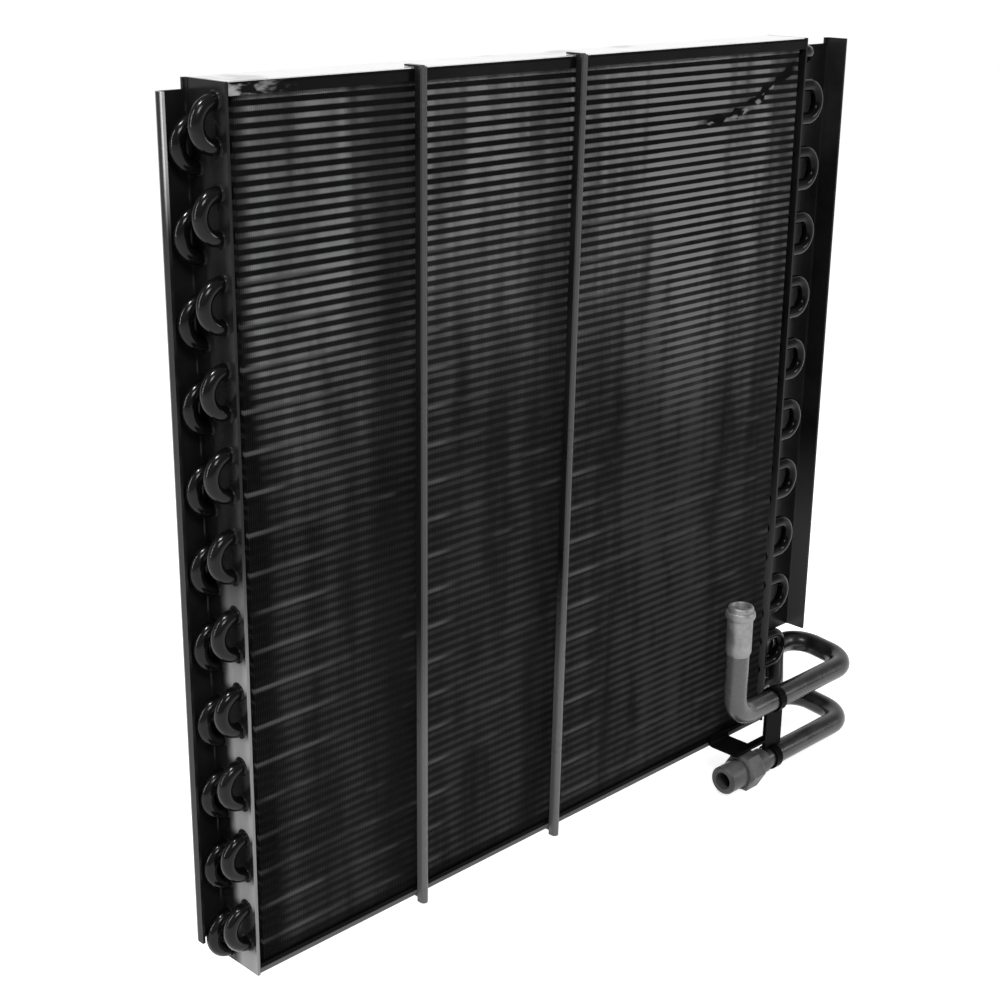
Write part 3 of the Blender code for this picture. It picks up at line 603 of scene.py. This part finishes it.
over_foot = fin_sum("SUBTRACT", fin_place["Z"], CREASE_FOOT)
over_crease = fin_sum("SUBTRACT", over_foot, fin_sum("MULTIPLY", along_crease, steepness))
wander = fin_sum("MULTIPLY_ADD", paint_noise(fin_paint, *CREASE_WANDER_GRAIN), *CREASE_WANDER)
off_crease = fin_sum("ADD", over_crease, wander)
ragged = fin_sum("MULTIPLY_ADD", paint_noise(fin_paint, *CREASE_RAGGED_GRAIN), *CREASE_RAGGED)
crease_reach = fin_sum("SUBTRACT", fin_sum("ABSOLUTE", off_crease), ragged)
crease_shade = all_of(
    fin_paint, fin_share(crease_reach, CREASE_WIDTH), fin_share(fin_place["X"], CREASE_LEFT),
    fin_share(fin_place["X"], CREASE_RIGHT), at_front)
tinted(fin_paint, crease_shade, FIN_DARK)
torn_spots = fin_share(paint_noise(fin_paint, *TORN_GRAIN), TORN_SPOTS)
torn = all_of(
    fin_paint, fin_share(off_crease, TORN_FOOT), fin_share(off_crease, TORN_TOP), torn_spots,
    fin_share(fin_place["X"], TORN_LEFT), fin_share(fin_place["X"], TORN_RIGHT), at_front)
tinted(fin_paint, torn, TORN_BRIGHT)

fin_count = int((fin_high.x - fin_low.x) / FIN_PITCH)
for index, name in enumerate(FIN_BANKS):
    first = fin_count * index // len(FIN_BANKS)
    last = fin_count * (index + 1) // len(FIN_BANKS)
    settle(one_material(fin_bank(name, first, last), fin_paint), "fin_paint", "fin_pack")

# Hairpin tubes: seamless tube bent cold at the left and run through every fin.
# The bends stand just clear of the tube sheet. Wall and bend are smooth, and
# the paint on them is thick and glossy.
TUBES_A_ROW = 11
TUBE_ROUNDNESS = 6
BEND_STEPS = 20
TUBE_BLACK = (0.0030, 0.0030, 0.0030, 1.0)
TUBE_ROUGH = (0.12, 0.20)
TUBE_GLOSS = 0.19
TUBE_PEEL = 0.10
TUBE_GRAIN = 160.0
ROWS = ("front", "rear")
tube_low, tube_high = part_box("front_hairpin_01")
TUBE_DIAMETER = tube_high.y - tube_low.y
TUBE_RADIUS = TUBE_DIAMETER / 2


def smooth_tube(name, points, diameter, roundness=TUBE_ROUNDNESS):
    """A round tube along a path of points, with closed ends."""
    curve = bpy.data.curves.new(name, "CURVE")
    curve.dimensions = "3D"
    curve.bevel_depth = diameter / 2
    curve.bevel_resolution = roundness
    curve.use_fill_caps = True
    spline = curve.splines.new("POLY")
    spline.points.add(len(points) - 1)
    for target, point in zip(spline.points, points):
        target.co = (*point, 1.0)
    obj = bpy.data.objects.new(name, curve)
    scene.collection.objects.link(obj)
    return obj


def bent_tube(name, upper, lower, outer_x, side, paint, node):
    """A tube with two legs and a half turn that reaches outer_x at its left (-1) or right (1)."""
    across = (Vector(upper) - Vector(lower)) / 2
    centre = (Vector(upper) + Vector(lower)) / 2
    centre.x = outer_x - side * (TUBE_RADIUS + across.length)
    swing = Vector((side * across.length, 0.0, 0.0))
    angles = [math.pi * step / BEND_STEPS for step in range(BEND_STEPS + 1)]
    bend = [centre + across * math.cos(angle) + swing * math.sin(angle) for angle in angles]
    tube = smooth_tube(name, [upper, *bend, lower], TUBE_DIAMETER)
    settle(one_material(tube, paint), "tube_paint", node)


def bend_rows(node_part, piece_part, count, side, paint):
    """Bent tubes of both rows, each in the place of its node."""
    for row in ROWS:
        for number in range(1, count + 1):
            node = f"{row}_{node_part}_{number:02d}"
            low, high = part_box(node)
            leg_x, outer_x = (high.x, low.x) if side < 0 else (low.x, high.x)
            y = (low.y + high.y) / 2
            upper = (leg_x, y, high.z - TUBE_RADIUS)
            lower = (leg_x, y, low.z + TUBE_RADIUS)
            bent_tube(f"{piece_part}_{row}_{number:02d}", upper, lower, outer_x, side, paint, node)


tube_paint = patchy_finish(
    "Tube paint", TUBE_BLACK, PAINT_BLACK, *TUBE_ROUGH, TUBE_GLOSS, peel=TUBE_PEEL, grain=TUBE_GRAIN)
bend_rows("hairpin", "tube", TUBES_A_ROW, -1, tube_paint)

# Return bends: short U pieces brazed over the hairpins' ends at the right,
# one tube further down each time. The crossover joins the two rows at the top.
# The paint is thinner and less glossy in there.
BEND_ROUGH = (0.12, 0.22)
BEND_GLOSS = 0.09
bend_paint = patchy_finish(
    "Return bend paint", TUBE_BLACK, LIP_WORN, *BEND_ROUGH, BEND_GLOSS, peel=TUBE_PEEL, grain=TUBE_GRAIN)
bend_rows("return_bend", "return", TUBES_A_ROW - 1, 1, bend_paint)
low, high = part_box("crossover_bend")
upper = (low.x, low.y + TUBE_RADIUS, high.z - TUBE_RADIUS)
lower = (low.x, high.y - TUBE_RADIUS, low.z + TUBE_RADIUS)
bent_tube("crossover_tube", upper, lower, high.x, 1, bend_paint, "crossover_bend")

# Collars: where each tube leaves a tube sheet the hole is drawn out into a
# short lip, and paint has filled the corner round it.
COLLAR_FIT = 0.00005
COLLAR_WIDTH = 0.0014
COLLAR_HEIGHT = 0.0011
COLLAR_WAIST = (0.55, 0.3)
COLLAR_LIP = 0.35
COLLAR_SIDES = 28
COLLAR_SHARP = 50
COLLAR_FACES = (("left_collars", -0.270, -1), ("right_collars", 0.270, 1))


def round_bar(radius, turn):
    """A round bar is equally wide at every turn."""
    return radius


def turned(name, profile, placings, sides, sharp, bar=round_bar):
    """Turned pieces of one profile (radius, height) about local Z, one for each placing.

    The bar gives how wide a ring comes out at each turn. Edges over the sharp
    angle, in degrees, stay sharp.
    """
    shape = bmesh.new()
    closed = all(radius > 0 for radius, height in profile)
    turns = [2 * math.pi * side / sides for side in range(sides)]
    for placing in placings:
        rings = []
        for radius, height in profile:
            if radius == 0:
                rings.append([shape.verts.new(placing @ Vector((0, 0, height)))])
                continue
            widths = [bar(radius, turn) for turn in turns]
            ring = [Vector((w * math.cos(t), w * math.sin(t), height)) for w, t in zip(widths, turns)]
            rings.append([shape.verts.new(placing @ point) for point in ring])
        pairs = list(zip(rings, rings[1:]))
        if closed:
            pairs.append((rings[-1], rings[0]))
        for one, two in pairs:
            for side in range(sides):
                after = (side + 1) % sides
                corners = [one[side % len(one)], one[after % len(one)]]
                corners += [two[after % len(two)], two[side % len(two)]]
                shape.faces.new(list(dict.fromkeys(corners)))
    bmesh.ops.recalc_face_normals(shape, faces=shape.faces)
    mesh = bpy.data.meshes.new(name)
    shape.to_mesh(mesh)
    shape.free()
    mesh.shade_smooth()
    mesh.set_sharp_from_angle(angle=math.radians(sharp))
    obj = bpy.data.objects.new(name, mesh)
    scene.collection.objects.link(obj)
    return obj


def tube_ends(node_names):
    """The (y, z) of both legs of each named bend."""
    places = []
    for node in node_names:
        low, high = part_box(node)
        y = (low.y + high.y) / 2
        places += [(y, high.z - TUBE_RADIUS), (y, low.z + TUBE_RADIUS)]
    return places


frame_paint = patchy_finish("Frame paint", PAINT_BLACK, PAINT_GREY, *FRAME_ROUGH, FRAME_GLOSS)
waist_width, waist_height = COLLAR_WAIST
collar_profile = (
    (TUBE_RADIUS + COLLAR_FIT, 0.0), (TUBE_RADIUS + COLLAR_WIDTH, 0.0),
    (TUBE_RADIUS + waist_width * COLLAR_WIDTH, waist_height * COLLAR_HEIGHT),
    (TUBE_RADIUS + COLLAR_LIP * COLLAR_WIDTH, COLLAR_HEIGHT), (TUBE_RADIUS + COLLAR_FIT, COLLAR_HEIGHT))
hairpins = [f"{row}_hairpin_{number:02d}" for row in ROWS for number in range(1, TUBES_A_ROW + 1)]
for name, x, side in COLLAR_FACES:
    turn_out = Matrix.Rotation(side * QUARTER_TURN, 4, "Y")
    placings = [Matrix.Translation((x, y, z)) @ turn_out for y, z in tube_ends(hairpins)]
    collars = turned(name, collar_profile, placings, COLLAR_SIDES, COLLAR_SHARP)
    settle(one_material(collars, frame_paint), "frame_paint")

# Straps: strips of sheet folded to a narrow channel and hooked over the coil.
# They hold the fins. Their round noses are painted lighter as a painted highlight,
# and low down the straps are painted lighter as a painted reflection of the white floor.
STRAP_BLACK = (0.006, 0.006, 0.006, 1.0)
STRAP_GREY = (0.016, 0.016, 0.016, 1.0)
STRAP_ROUGH = (0.22, 0.36)
STRAP_GLOSS = 0.25
STRAP_EDGE = 0.0003
STRAP_NOSE_HIGHLIGHT = (0.060, 0.060, 0.061, 1.0)
STRAP_HIGHLIGHT_FACING = (-0.35, -0.80)
STRAP_FLOOR_REFLECTION = (0.135, 0.135, 0.136, 1.0)
STRAP_REFLECTION_HEIGHT = (0.22, 0.10)
strap_paint = patchy_finish("Strap paint", STRAP_BLACK, STRAP_GREY, *STRAP_ROUGH, STRAP_GLOSS, peel=0.0)
tinted(strap_paint, facing_share(strap_paint, "Y", *STRAP_HIGHLIGHT_FACING), STRAP_NOSE_HIGHLIGHT)
tinted(strap_paint, smooth_share(strap_paint, object_place(strap_paint)["Z"], *STRAP_REFLECTION_HEIGHT), STRAP_FLOOR_REFLECTION)
for name in ("left_front_strap", "right_front_strap"):
    soften_edges(one_material(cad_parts[name], strap_paint), STRAP_EDGE)

# Pipes: steel tube bent round from the lowest coil tubes to the air face. The
# upper one turns up into a leg for the hose stub. They took less paint than the
# frame, and least of all at the leg, where the stub was masked. Their tops and
# their rear runs are painted darker, as painted shade.
PIPE_RADIUS = 0.0090
PIPE_ROUNDNESS = 12
PIPE_SET_START = 0.0100
PIPE_SET_LENGTH = 0.0240
PIPE_BACK_RISE = 0.0060
SET_RADIUS = 0.0170
TURN_RADIUS = 0.0210
ELBOW_RADIUS = 0.0200
CORNER_STEPS = 14
PIPE_DARK = (0.009, 0.009, 0.009, 1.0)
PIPE_LIGHT = (0.044, 0.044, 0.045, 1.0)
PIPE_ROUGH = (0.20, 0.36)
PIPE_GLOSS = 0.50
PIPE_PATCH = 75.0
PIPE_TOP_SHADE = (0.010, 0.010, 0.010, 1.0)
PIPE_SHADE_FACING = (0.30, 0.90)
PIPE_BACK_SHADE = (0.006, 0.006, 0.006, 1.0)
PIPE_SHADE_DEPTH = (-0.048, -0.022)
LEG_GREY = (0.092, 0.092, 0.093, 1.0)
LEG_MASKED = (0.242, 0.200)


def swept_corners(points, radii):
    """A path through the points, with each inner corner swept round by its own radius."""
    path = [Vector(points[0])]
    for before, corner, after, radius in zip(points, points[1:], points[2:], radii):
        corner = Vector(corner)
        into = (corner - Vector(before)).normalized()
        out = (Vector(after) - corner).normalized()
        turn = into.angle(out)
        start = corner - into * radius * math.tan(turn / 2)
        side = (out - into * into.dot(out)).normalized()
        for step in range(CORNER_STEPS + 1):
            angle = turn * step / CORNER_STEPS
            path.append(start + into * radius * math.sin(angle) + side * radius * (1 - math.cos(angle)))
    path.append(Vector(points[-1]))
    return path


def box_middle(node):
    low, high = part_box(node)
    return (low + high) / 2


def band_axis(node, side):
    """Height of the pipe inside a band; side is 1 if the band's top is whole, or -1."""
    low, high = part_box(node)
    half = (high.y - low.y) / 2
    return high.z - half if side > 0 else low.z + half


pipe_low, pipe_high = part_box("lower_pipe")
stub_low, stub_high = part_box("hose_stub")
stub_middle = box_middle("hose_stub")
turn_x = pipe_high.x - PIPE_RADIUS
front_y = stub_middle.y
rear_y = box_middle("lower_reducer").y
upper_z = band_axis("upper_band", 1)
lower_z = band_axis("lower_band", -1)


def pipe_points(reducer, height, ends):
    """Corners of one pipe from its reducer round to the given last points."""
    start = box_middle(reducer)
    start.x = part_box(reducer)[1].x
    set_start = start.x + PIPE_SET_START
    back = height + PIPE_BACK_RISE
    return [
        start, (set_start, start.y, start.z), (set_start + PIPE_SET_LENGTH, rear_y, back),
        (turn_x, rear_y, back), (turn_x, front_y, height), *ends]


pipe_paint = patchy_finish(
    "Pipe paint", PIPE_DARK, PIPE_LIGHT, *PIPE_ROUGH, PIPE_GLOSS, peel=0.0, patch=PIPE_PATCH)
pipe_place = object_place(pipe_paint)
# Painted shade: darker on the up-facing tops and on the runs further back.
tinted(pipe_paint, facing_share(pipe_paint, "Z", *PIPE_SHADE_FACING), PIPE_TOP_SHADE)
tinted(pipe_paint, smooth_share(pipe_paint, pipe_place["Y"], *PIPE_SHADE_DEPTH), PIPE_BACK_SHADE)
tinted(pipe_paint, smooth_share(pipe_paint, pipe_place["X"], *LEG_MASKED), LEG_GREY)

radii = (SET_RADIUS, SET_RADIUS, TURN_RADIUS, TURN_RADIUS, ELBOW_RADIUS)
upper_ends = [(stub_middle.x, front_y, upper_z), (stub_middle.x, front_y, stub_low.z)]
lower_ends = [(pipe_low.x, front_y, lower_z)]
pipes = (("upper", upper_z, upper_ends), ("lower", lower_z, lower_ends))
for name, height, ends in pipes:
    path = swept_corners(pipe_points(f"{name}_reducer", height, ends), radii)
    pipe = smooth_tube(f"{name}_line", path, 2 * PIPE_RADIUS, PIPE_ROUNDNESS)
    settle(one_material(pipe, pipe_paint), "pipe_paint", f"{name}_pipe")

# Reducers: short sockets turned from steel, between the small coil tube and the
# pipe. A bead of braze has run into the pipe end, and they are painted with the pipes.
REDUCER_NECK = 0.0062
REDUCER_NECK_LENGTH = 0.0042
REDUCER_SOCKET = 0.0100
REDUCER_SOCKET_LENGTH = 0.0056
REDUCER_EDGE = 0.0004
REDUCER_SHOULDER_RUN = 0.0005
REDUCER_SIDES = 40
REDUCER_SHARP = 35
BRAZE_RUN = 0.0012
along_x = Matrix.Rotation(QUARTER_TURN, 4, "Y")
for name in ("upper_reducer", "lower_reducer"):
    low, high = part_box(name)
    length = high.x - low.x
    shoulder = length - REDUCER_SOCKET_LENGTH
    profile = (
        (0.0, 0.0), (REDUCER_NECK, 0.0), (REDUCER_NECK, REDUCER_NECK_LENGTH),
        (REDUCER_SOCKET - REDUCER_EDGE, shoulder), (REDUCER_SOCKET, shoulder + REDUCER_SHOULDER_RUN),
        (REDUCER_SOCKET, length), (REDUCER_SOCKET - REDUCER_EDGE, length + REDUCER_EDGE),
        (PIPE_RADIUS, length + BRAZE_RUN), (0.0, length + BRAZE_RUN))
    middle = box_middle(name)
    place = Matrix.Translation((low.x, middle.y, middle.z)) @ along_x
    socket = turned(f"{name}_socket", profile, [place], REDUCER_SIDES, REDUCER_SHARP)
    settle(one_material(socket, pipe_paint), "pipe_paint", name)

# Hose stub: a turned steel spigot with a bead that keeps the hose on. It was
# masked when the rest was painted, so it shows dull bare metal.
STUB_BODY = 0.01025
STUB_BORE = 0.0070
STUB_FLOOR = 0.0040
STUB_BEAD = 0.0120
STUB_BEAD_DROP = 0.0075
STUB_BEAD_STRETCH = 2.0
STUB_BEAD_STEPS = 10
STUB_FOOT = ((0.0004, 0.0022), (0.0, 0.0030))
STUB_TIP = ((0.0, 0.0016), (0.0006, 0.0004), (0.0014, 0.0))
STUB_MOUTH = ((0.0004, 0.0), (0.0, 0.0005))
STUB_SIDES = 56
STUB_SHARP = 40
STEEL_DARK = (0.20, 0.20, 0.20, 1.0)
STEEL_LIGHT = (0.40, 0.40, 0.40, 1.0)
STEEL_ROUGH = (0.38, 0.55)
STEEL_GLOSS = 0.5
STEEL_PATCH = 90.0
STEEL_METAL = 0.55
bare_steel = patchy_finish(
    "Bare steel", STEEL_DARK, STEEL_LIGHT, *STEEL_ROUGH, STEEL_GLOSS, peel=0.0, patch=STEEL_PATCH)
shader_of(bare_steel).inputs["Metallic"].default_value = STEEL_METAL
stub_length = stub_high.z - stub_low.z
bead_z = stub_length - STUB_BEAD_DROP
bead_swell = STUB_BEAD - STUB_BODY
bead_rise = STUB_BEAD_STRETCH * bead_swell
bead_arc = [math.pi * step / STUB_BEAD_STEPS for step in range(STUB_BEAD_STEPS + 1)]
stub_bead = [(STUB_BODY + bead_swell * math.sin(a), bead_z - bead_rise * math.cos(a)) for a in bead_arc]
stub_foot = [(STUB_BODY - inset, height) for inset, height in STUB_FOOT]
stub_tip = [(STUB_BODY - inset, stub_length - drop) for inset, drop in STUB_TIP]
stub_mouth = [(STUB_BORE + inset, stub_length - drop) for inset, drop in STUB_MOUTH]
stub_profile = (
    (0.0, 0.0), (PIPE_RADIUS, 0.0), *stub_foot, *stub_bead, *stub_tip, *stub_mouth,
    (STUB_BORE, STUB_FLOOR), (0.0, STUB_FLOOR))
stub_place = Matrix.Translation((stub_middle.x, stub_middle.y, stub_low.z))
stub = turned("stub_spigot", stub_profile, [stub_place], STUB_SIDES, STUB_SHARP)
settle(one_material(stub, bare_steel), "bare_steel", "hose_stub")

# Fitting: a hexagon steel body with a plain round nose and a bore, screwed up
# against a round nut on the lower pipe. Its zinc has gone dull and grey.
HEX_FLAT = 0.01425
HEX_CHAMFER = 0.0022
HEX_FACE_DROP = 0.0006
HEX_SPARE = 0.0001
HEX_HALF_SIDE = math.radians(30)
NOSE_LENGTH = 0.0200
NOSE_RADIUS = 0.01175
NOSE_CHAMFER = 0.0015
FITTING_BORE = 0.0070
FITTING_BORE_DEPTH = 0.0300
BORE_CHAMFER = 0.0006
FITTING_SIDES = 72
FITTING_SHARP = 24
ZINC_DARK = (0.045, 0.045, 0.046, 1.0)
ZINC_LIGHT = (0.110, 0.110, 0.112, 1.0)
ZINC_ROUGH = (0.34, 0.52)
ZINC_GLOSS = 0.3
ZINC_PATCH = 70.0


def hexagon_bar(radius, turn):
    """A hexagon bar is cut off at its flats, so wide rings come out six-sided."""
    from_flat = (turn + HEX_HALF_SIDE) % (2 * HEX_HALF_SIDE) - HEX_HALF_SIDE
    return min(radius, HEX_FLAT / math.cos(from_flat))


dull_zinc = patchy_finish(
    "Dull zinc", ZINC_DARK, ZINC_LIGHT, *ZINC_ROUGH, ZINC_GLOSS, peel=0.0, patch=ZINC_PATCH)
fitting_low, fitting_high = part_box("hex_fitting")
fitting_length = fitting_high.x - fitting_low.x
hex_corner = HEX_FLAT / math.cos(HEX_HALF_SIDE) + HEX_SPARE
hex_face = HEX_FLAT - HEX_FACE_DROP
fitting_profile = (
    (0.0, FITTING_BORE_DEPTH), (FITTING_BORE, FITTING_BORE_DEPTH), (FITTING_BORE, BORE_CHAMFER),
    (FITTING_BORE + BORE_CHAMFER, 0.0), (NOSE_RADIUS - NOSE_CHAMFER, 0.0), (NOSE_RADIUS, NOSE_CHAMFER),
    (NOSE_RADIUS, NOSE_LENGTH), (hex_face, NOSE_LENGTH), (hex_corner, NOSE_LENGTH + HEX_CHAMFER),
    (hex_corner, fitting_length - HEX_CHAMFER), (hex_face, fitting_length), (0.0, fitting_length))
fitting_place = Matrix.Translation((fitting_low.x, front_y, lower_z)) @ along_x
fitting = turned("fitting_body", fitting_profile, [fitting_place], FITTING_SIDES, FITTING_SHARP, hexagon_bar)
settle(one_material(fitting, dull_zinc), "fitting_paint", "hex_fitting")

# Tube nut: a short round nut turned from steel, behind the fitting, that pulls
# it up on the lower pipe. It has the same dull zinc.
NUT_RADIUS = 0.0105
NUT_CHAMFER = 0.0011
NUT_FIT = 0.0002
NUT_BACK = 0.0003
NUT_SHARP = 35
nut_low, nut_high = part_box("tube_nut")
nut_length = nut_high.x - nut_low.x
nut_profile = (
    (0.0, 0.0), (NUT_RADIUS - NUT_CHAMFER, 0.0), (NUT_RADIUS, NUT_CHAMFER),
    (NUT_RADIUS, nut_length - NUT_CHAMFER), (NUT_RADIUS - NUT_CHAMFER, nut_length),
    (PIPE_RADIUS + NUT_FIT, nut_length + NUT_BACK), (0.0, nut_length + NUT_BACK))
nut_place = Matrix.Translation((nut_low.x, front_y, lower_z)) @ along_x
nut = turned("nut_collar", nut_profile, [nut_place], STUB_SIDES, NUT_SHARP)
settle(one_material(nut, dull_zinc), "fitting_paint", "tube_nut")

# Bracket and bands: an arm of strip steel from the bottom channel, with a post
# between the pipes and a thin band round each. All of it is painted black.
BRACKET_ROUGH = (0.30, 0.45)
BRACKET_GLOSS = 0.02
bracket_paint = patchy_finish("Bracket paint", LIP_BLACK, LIP_WORN, *BRACKET_ROUGH, BRACKET_GLOSS)
for name in ("pipe_bracket", "upper_band", "lower_band"):
    soften_edges(one_material(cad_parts[name], bracket_paint), SHEET_EDGE)
